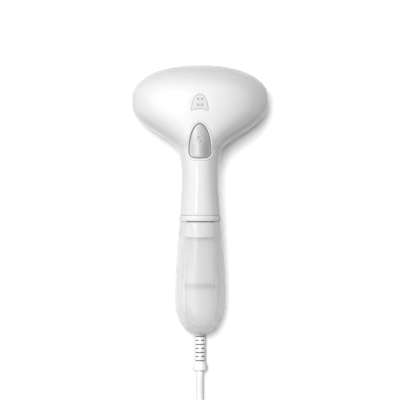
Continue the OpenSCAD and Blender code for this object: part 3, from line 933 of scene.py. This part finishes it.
def channel(extra, length_extra):
    """The space of the rail and its tongue, grown by extra."""
    half, mouth, below = RAIL_HALF + extra, DOCK_Y + 14, -5
    return [
        block(-half, half, END_Y - 10, mouth, below, RAIL_H + extra),
        block(-half, half, TONGUE_Y - length_extra, mouth, below, TONGUE_H + extra),
    ]


def tank():
    """The frosted tank: a thin wall round the water, with the rail's channel cut through."""
    obj = stacked("water_tank", [body_loop(y) for y in tank_rows(0)])
    rows = [DOCK_Y + 2, *tank_rows(TANK_WALL)]
    hollow = stacked("hollow", [body_loop(y, TANK_WALL) for y in rows])
    cut(hollow, *channel(SLIDE_GAP + TANK_WALL, SLIDE_GAP + TANK_WALL))
    cut(obj, hollow)
    cut(obj, *channel(SLIDE_GAP, SLIDE_GAP))
    soften(obj, 0.35, 2, 50)
    finish_piece(bake(obj), "tank_frost", "tank", "tank_shell")


def tank_closure():
    """The tank's neck piece, welded into its open end, with a mouth for the cap."""
    def bored(name, r):
        return lathe_y(name, [(r, DOCK_Y + 4), (r, DOCK_Y - 36)], 0, CAP_Z)

    high, low = closure_high.y, closure_low.y
    obj = stacked("tank_neck", [body_loop(y, TANK_WALL + 0.1) for y in (high, -130, -135, low)])
    pocket = stacked("pocket", [body_loop(y, TANK_WALL + 2) for y in (high - 3, -134, low - 1)])
    cut(pocket, *channel(SLIDE_GAP + TANK_WALL + 2, 0), bored("web", 6))
    cut(obj, *channel(SLIDE_GAP + TANK_WALL + 0.1, 0))
    cut(obj, pocket, bored("mouth", 4.5))
    finish_piece(bake(obj), "inner_white", "tank", "tank_closure")


def spine():
    """The rail under the tank and the tongue inside it, hollow for the pump and the leads."""
    obj = stacked("spine", [body_loop(y) for y in tank_rows(0)])
    rail = block(-RAIL_HALF, RAIL_HALF, END_Y - 1, DOCK_Y, -1, RAIL_H)
    cut(obj, rail, operation="INTERSECT")
    tongue = block(-RAIL_HALF, RAIL_HALF, TONGUE_Y, spine_high.y, RAIL_H - 1, TONGUE_H)
    soften(tongue, 2, 4)
    cut(obj, bake(tongue), operation="UNION")
    pump_room = block(-12.6, 12.6, -185, -120, 21, 33.6)
    step_room = block(-12, 12, -185, -152, 13.5, 22)
    clamp_room = block(-12, 12, -223, -178, 6.6, 17.5)
    cord_bore = lathe_y("bore", [(5.3, -222), (5.3, -252)], 0, RELIEF_Z)
    flange_seat = lathe_y("seat", [(7.3, -224), (7.3, -229)], 0, RELIEF_Z)
    cut(obj, pump_room, step_room, clamp_room, cord_bore, flange_seat)
    for x in (-RAIL_SCREW_X, RAIL_SCREW_X):
        cut(obj, rod_z("hole", x, RAIL_SCREW_Y, -1, 3, SCREW_HEAD_R + 0.2))
    finish_piece(bake(obj), "spine_white", "root", "lower_spine")


# ---------------------------------------------------------------- steam face
def plate_rim():
    """The grey rim round the steam plate, through (outset, z) pairs."""
    profile = [
        (3.5, 10.4), (3.5, 1.6), (3.2, 0.9), (2.6, 0.6), (0.9, 0.6),
        (0.5, 0.8), (0.3, 1.2), (0.3, 5), (-3, 5), (-3, 10.4),
    ]
    loops = [level(oval(-d), z) for d, z in profile]
    obj = bake(stacked("steam_face_rim", loops, "ring"), 50)
    finish_piece(obj, "bezel_grey", "root", "plate_bezel")


JET_X = 13
JET_PITCH = 9
HOLE_X = 20
HOLE_PITCH = 7
HOLE_ROW = 15
HOLE_BEND = 0.65
HOLE_R = 1.2


def steam_spots():
    """The holes' places: six along the middle, and a bent row of five in each quarter."""
    spots = [(s * (JET_X + JET_PITCH * i), PLATE_Y) for s in (-1, 1) for i in range(3)]
    for s in (-1, 1):
        for i in range(5):
            x, drop = s * (HOLE_X + HOLE_PITCH * i), HOLE_ROW - HOLE_BEND * i * i
            spots += [(x, PLATE_Y + drop), (x, PLATE_Y - drop)]
    return spots


def steam_plate():
    """The steel plate, with its steam holes and a shallow groove pressed in at each end."""
    groove_low, groove_high, groove_depth = 2.7, 3.5, 0.35
    spots = [circle(x, y, HOLE_R, 20) for x, y in steam_spots()]
    extra = [p for inset in (7.2, 6.6, 5.6, 5.0) for p in oval(inset)]
    flat, faces = filled(oval(0.5), spots, extra, 0.3)

    def height(x, y):
        r = reach_in_oval(x / PLATE_A, (y - PLATE_Y) / PLATE_B, OVAL_N)
        return groove_depth if groove_low < (1 - r) * PLATE_B < groove_high else 0

    points = [(x, y, height(x, y)) for x, y in flat]
    obj = mesh_of("steam_face_plate", points, [tuple(reversed(f)) for f in faces])
    thicken(obj, plate_high.z)
    soften(obj, 0.3)
    finish_piece(bake(obj), "steel_plate", "root", "steam_plate")


def screw_heads():
    """Cross-head screws in the handle and under the rail."""
    screws = [(0, SCREW_Y, front(SCREW_Y) + 1.6, 20)]
    screws += [(x, RAIL_SCREW_Y, 1, 7) for x in (-RAIL_SCREW_X, RAIL_SCREW_X)]
    parts = []
    for x, y, z, depth in screws:
        head = rod_z("head", x, y, z, z + 2, SCREW_HEAD_R)
        soften(head, 0.4)
        bake(head)
        for half_x, half_y in ((2, 0.4), (0.4, 2)):
            cut(head, block(x - half_x, x + half_x, y - half_y, y + half_y, z - 1, z + 1.2))
        parts += [head, rod_z("shank", x, y, z + 2, z + depth, SCREW_R)]
    finish_piece(joined("case_screw_set", parts), "screw_steel", "root", "case_screws")


# ---------------------------------------------------------------- cord, relief and plug
CORD_D = 8
RUN = [
    (0, -277.9, 11), (0, -284, 10.4), (0, -292, 8.7), (0, -300, 6.5), (0, -308, 4.8),
    (0, -316, 4.1), (0, -326, 4), (0, -338, 4), (0, -350, 4), (0, -360, 4), (0, -370, 4),
]
LEAD = [
    (43, -322, 27.4), (32, -322, 25), (22, -322, 20.5), (11, -322, 15.6), (0, -323, 12.6),
    (-11, -327.5, 11.6), (-21, -335, 11.6), (-28, -344, 12.6), (-32.5, -355, 14.6),
    (-34, -366, 16.6), (-34, -374, 17.8), (-34, -380, 18),
]
COIL_X = (coil_low.x + coil_high.x) / 2
COIL_Y = (coil_low.y + coil_high.y) / 2
COIL_OUT = (coil_high.x - coil_low.x) / 2 - CORD_D / 2
COIL_IN = 38
LAYERS = 4
LAYER_TURNS = 1.9375
LAYER_STEPS = 88


def coil_points():
    """The coiled cord, in four flat spirals that run in and out in turn."""
    points = []
    for layer in range(LAYERS):
        for k in range(LAYER_STEPS):
            f = k / LAYER_STEPS
            near, far = (COIL_OUT, COIL_IN) if layer % 2 == 0 else (COIL_IN, COIL_OUT)
            r = mix(near, far, f)
            climb = ease((f - 0.86) / 0.14) if layer < LAYERS - 1 else 0
            angle = math.pi + 2 * math.pi * LAYER_TURNS * (layer + f)
            z = CORD_D / 2 + CORD_D * (layer + climb)
            points.append((COIL_X + r * math.cos(angle), COIL_Y + r * math.sin(angle), z))
    points.append((COIL_X, COIL_Y + COIL_OUT, CORD_D / 2 + CORD_D * (LAYERS - 1)))
    return points


def smooth_route(points, steps=6):
    """The route with more points, on a Catmull-Rom curve."""
    def between(p, q, r, s, t):
        bend, twist = 2 * p - 5 * q + 4 * r - s, 3 * q - p - 3 * r + s
        return 0.5 * (2 * q + (r - p) * t + bend * t * t + twist * t**3)

    ends = [points[0], *points, points[-1]]
    fine = [
        tuple(between(*places, k / steps) for places in zip(*four))
        for four in zip(ends, ends[1:], ends[2:], ends[3:])
        for k in range(steps)
    ]
    return [*fine, points[-1]]


def mains_cord(pieces_on_it):
    """The whole cord, from the relief through the coil to the plug."""
    route = smooth_route(RUN)[:-1] + coil_points() + smooth_route(LEAD)
    curve = bpy.data.curves.new("mains_cord", "CURVE")
    curve.dimensions = "3D"
    curve.bevel_depth = CORD_D / 2 * MM
    curve.bevel_resolution = 5
    curve.use_fill_caps = True
    line = curve.splines.new("POLY")
    line.points.add(len(route) - 1)
    for point, place in zip(line.points, route):
        point.co = (*at(*place), 1)
    line.use_smooth = True
    obj = link("mains_cord", curve)
    finish_piece(obj, "cord_white", "root", "cord_run", "cord_coil", "cord_lead")


RELIEF_R = 6
RELIEF_CORE = 4.3
FLARE_R = 7.8
RELIEF_NECK_Y = -240.2
RELIEF_END = -277.9
SLOT_Y = -242.8
SLOT_PITCH = 4.15
SLOT_W = 1.4


def relief_slot(y, across):
    """One slot half-way round the sleeve, on both its faces or on both its sides."""
    y0, y1 = y - SLOT_W / 2, y + SLOT_W / 2
    ring = lathe_y("slot", [(2 * RELIEF_R, y0), (2 * RELIEF_R, y1)], 0, RELIEF_Z, 48)
    cut(ring, lathe_y("core", [(RELIEF_CORE, y0 - 1), (RELIEF_CORE, y1 + 1)], 0, RELIEF_Z, 48))
    bridges = [(-14.7, -4.7), (4.7, 14.7)] if across else [(-1.2, 1.2)]
    return cut(ring, *[block(x0, x1, y0 - 1, y1 + 1, -9, 31) for x0, x1 in bridges])


def relief():
    """The ribbed sleeve where the cord leaves the spine."""
    profile = [
        (7.0, -226), (7.0, -228.6), (5.0, -228.6), (5.0, RELIEF_NECK_Y), (RELIEF_R - 0.3, RELIEF_NECK_Y),
        (RELIEF_R, RELIEF_NECK_Y - 0.3), (RELIEF_R, -268.2), (6.2, -269.4), (6.6, -270.6), (7.1, -272.4),
        (FLARE_R - 0.2, -274.2), (FLARE_R, -275.8), (FLARE_R, -277.2), (FLARE_R - 0.2, -277.6),
        (FLARE_R - 0.7, RELIEF_END),
    ]
    obj = lathe_y("cord_relief", profile, 0, RELIEF_Z, 72)
    cut(obj, *[relief_slot(SLOT_Y - SLOT_PITCH * i, i % 2 == 0) for i in range(7)])
    finish_piece(bake(obj, 40), "cord_white", "root", "strain_relief")


def relief_slot_shade():
    """A dark grey sleeve inside the relief, put there as painted shade that shows in the sleeve's slots.
    """
    high, low, r = RELIEF_NECK_Y - 0.3, -270, RELIEF_CORE + 0.05
    rounding = [(1, 0), (0.3, 0.1), (0, 0.4)]
    profile = [(r - inset, high - d) for inset, d in rounding]
    profile += [(r - inset, low + d) for inset, d in reversed(rounding)]
    # Painted shade: this dark sleeve darkens the slots in place of the shade deep inside them.
    obj = lathe_y("relief_slot_shade", profile, 0, RELIEF_Z, 48)
    finish_piece(bake(obj), "silicone_grey", "root")


def strap():
    """The band round the coil, with rounded corners."""
    def loop(grow, y):
        r = 5 + grow
        x0, x1 = tie_low.x + 1 - grow + r, tie_high.x - 1 + grow - r
        z0, z1 = 1 - grow + r, tie_high.z - 1 + grow - r
        points = []
        for x, z, start in ((x1, z1, 0), (x0, z1, 90), (x0, z0, 180), (x1, z0, 270)):
            for k in range(9):
                a = math.radians(start + 90 * k / 8)
                points.append((x + r * math.cos(a), y, z + r * math.sin(a)))
        return points

    y0, y1 = tie_low.y, tie_high.y
    rounding = [(0, 0), (0.8, 0), (1, 0.3)]
    loops = [loop(grow, y0 + d) for grow, d in rounding]
    loops += [loop(grow, y1 - d) for grow, d in reversed(rounding)]
    obj = bake(stacked("cord_strap", loops, "ring"), 50)
    return finish_piece(obj, "cap_grey", "root", "cord_tie")


PLUG_X = (plug_low.x + plug_high.x) / 2
PLUG_Z = (plug_low.z + plug_high.z) / 2
PIN_R = 2.4
PIN_HALF_PITCH = 9.5


def plug():
    """A round two-pin plug, with a flat above and below and four grooves on each side."""
    x, z, start = PLUG_X, PLUG_Z, plug_high.y
    profile = [
        (3.9, 0), (4.8, 0.3), (5.0, 1), (5.6, 5), (6.4, 8), (7.4, 9.1), (9, 10), (11.6, 11),
        (14, 12.5), (15.8, 14.3), (17, 16.5), (17.6, 18.6), (17.8, 21), (17.8, 35.6),
        (17.5, 36.5), (16.8, 37),
    ]
    obj = lathe_y("plug_shell", [(r, start - d) for r, d in profile], x, z, 96)
    for s in (-1, 1):
        cut(obj, block(x - 3, x + 3, start - 40, start - 22, z + s * 17 - 2.2, z + s * 17 + 2.2))
        for k in range(4):
            y = start - 24.5 - 2.8 * k
            cut(obj, block(x + s * 18 - 1, x + s * 18 + 1, y - 0.5, y + 0.5, z - 9, z + 9))
    return finish_piece(bake(obj, 40), "cord_white", "root", "plug_body")


def plug_pins():
    """Two round pins with domed ends."""
    reach = pins_high.y - pins_low.y
    turns = [math.radians(a) for a in range(0, 86, 14)]
    tip = [(PIN_R * math.cos(a), reach - PIN_R + PIN_R * math.sin(a)) for a in turns]
    profile = [(r, pins_high.y - d) for r, d in [(PIN_R, 0), *tip, (0.25, reach)]]
    places = (PLUG_X - PIN_HALF_PITCH, PLUG_X + PIN_HALF_PITCH)
    parts = [bake(lathe_y("pin", profile, x, PLUG_Z, 40), 50) for x in places]
    return finish_piece(joined("plug_pin_pair", parts), "pin_metal", "root", "plug_pins")


# ---------------------------------------------------------------- put together
mains_cord([plug(), plug_pins(), strap()])
relief()
relief_slot_shade()
back_skin()
front_skin()
bezel_ring()
steam_button()
window_lens()
lamps()
return_springs()
collar()
tank()
tank_closure()
spine()
plate_rim()
steam_plate()
screw_heads()


def dress_cad_nodes():
    """Every CAD node that stays takes its own slot's look."""
    slots = {row["node"]: row["material_slot"] for row in frame["record"]["subparts"]}
    for node, obj in frame["nodes"].items():
        if not obj.hide_render:
            paint(obj, slots[node])


dress_cad_nodes()


# ---------------------------------------------------------------- stage
def floor():
    half = 4000
    corners = [(-half, -half, 0), (half, -half, 0), (half, half, 0), (-half, half, 0)]
    obj = mesh_of("floor", corners, [(0, 1, 2, 3)])
    shader = Shader("floor_white")
    shader.colour(shader.noise(2), grey(0.94), grey(0.95))
    shader.rough(shader.noise(3), 0.85, 0.95)
    shader.set(Emission_Color=(1, 1, 1, 1), Emission_Strength=0.25, Specular_IOR_Level=0.0)
    obj.data.materials.append(shader.material)
    obj.visible_diffuse = False


def lamp_at(name, place, target, size, power_w):
    data = bpy.data.lights.new(name, "AREA")
    data.energy = power_w
    data.size = size
    obj = link(name, data)
    obj.location = place
    obj.rotation_euler = (Vector(target) - Vector(place)).to_track_quat("-Z", "Y").to_euler()
    return obj


def lights():
    """Two soft boxes, overhead and low on the left, and a small one for the handle's streak."""
    centre = (0, -0.08, 0)
    boxes = [
        lamp_at("overhead", (-0.2, 0.36, 2.32), centre, 0.9, 54),
        lamp_at("left", (-2.05, -0.08, 1.25), centre, 1.0, 18),
    ]
    for box in boxes:
        box.visible_glossy = False
    lamp_at("glint", (-0.29, -0.64, 1.2), (0, -0.095, 0.06), 0.1, 0.6)


def surroundings():
    """What glossy surfaces mirror: a studio that is bright on the left and dim on the right,
    with a bright patch above, a little to the left."""
    world = bpy.data.worlds.new("studio")
    bpy.context.scene.world = world
    world.use_nodes = True
    tree = world.node_tree
    nodes, links = tree.nodes, tree.links
    way = nodes.new("ShaderNodeTexCoord").outputs["Generated"]
    split = nodes.new("ShaderNodeSeparateXYZ")
    links.new(way, split.inputs[0])
    across = remapped(tree, split.outputs["X"], 0.5, 0.05, -0.7, 0.6, True)
    toward = nodes.new("ShaderNodeVectorMath")
    toward.operation = "DOT_PRODUCT"
    toward.inputs[1].default_value = Vector((-0.42, 0.03, 0.9)).normalized()
    links.new(way, toward.inputs[0])
    edge, middle = math.cos(math.radians(26)), math.cos(math.radians(6))
    patch = remapped(tree, toward.outputs["Value"], 0, 1.2, edge, middle, True)
    total = nodes.new("ShaderNodeMath")
    links.new(across, total.inputs[0])
    links.new(patch, total.inputs[1])
    links.new(total.outputs[0], nodes["Background"].inputs["Strength"])
    nodes["Background"].inputs["Color"].default_value = (1, 1, 1, 1)
    world.cycles_visibility.diffuse = False


floor()
lights()
surroundings()
view = bpy.context.scene.view_settings
view.view_transform = "Standard"
view.look = "None"
view.exposure = 0
view.gamma = 1
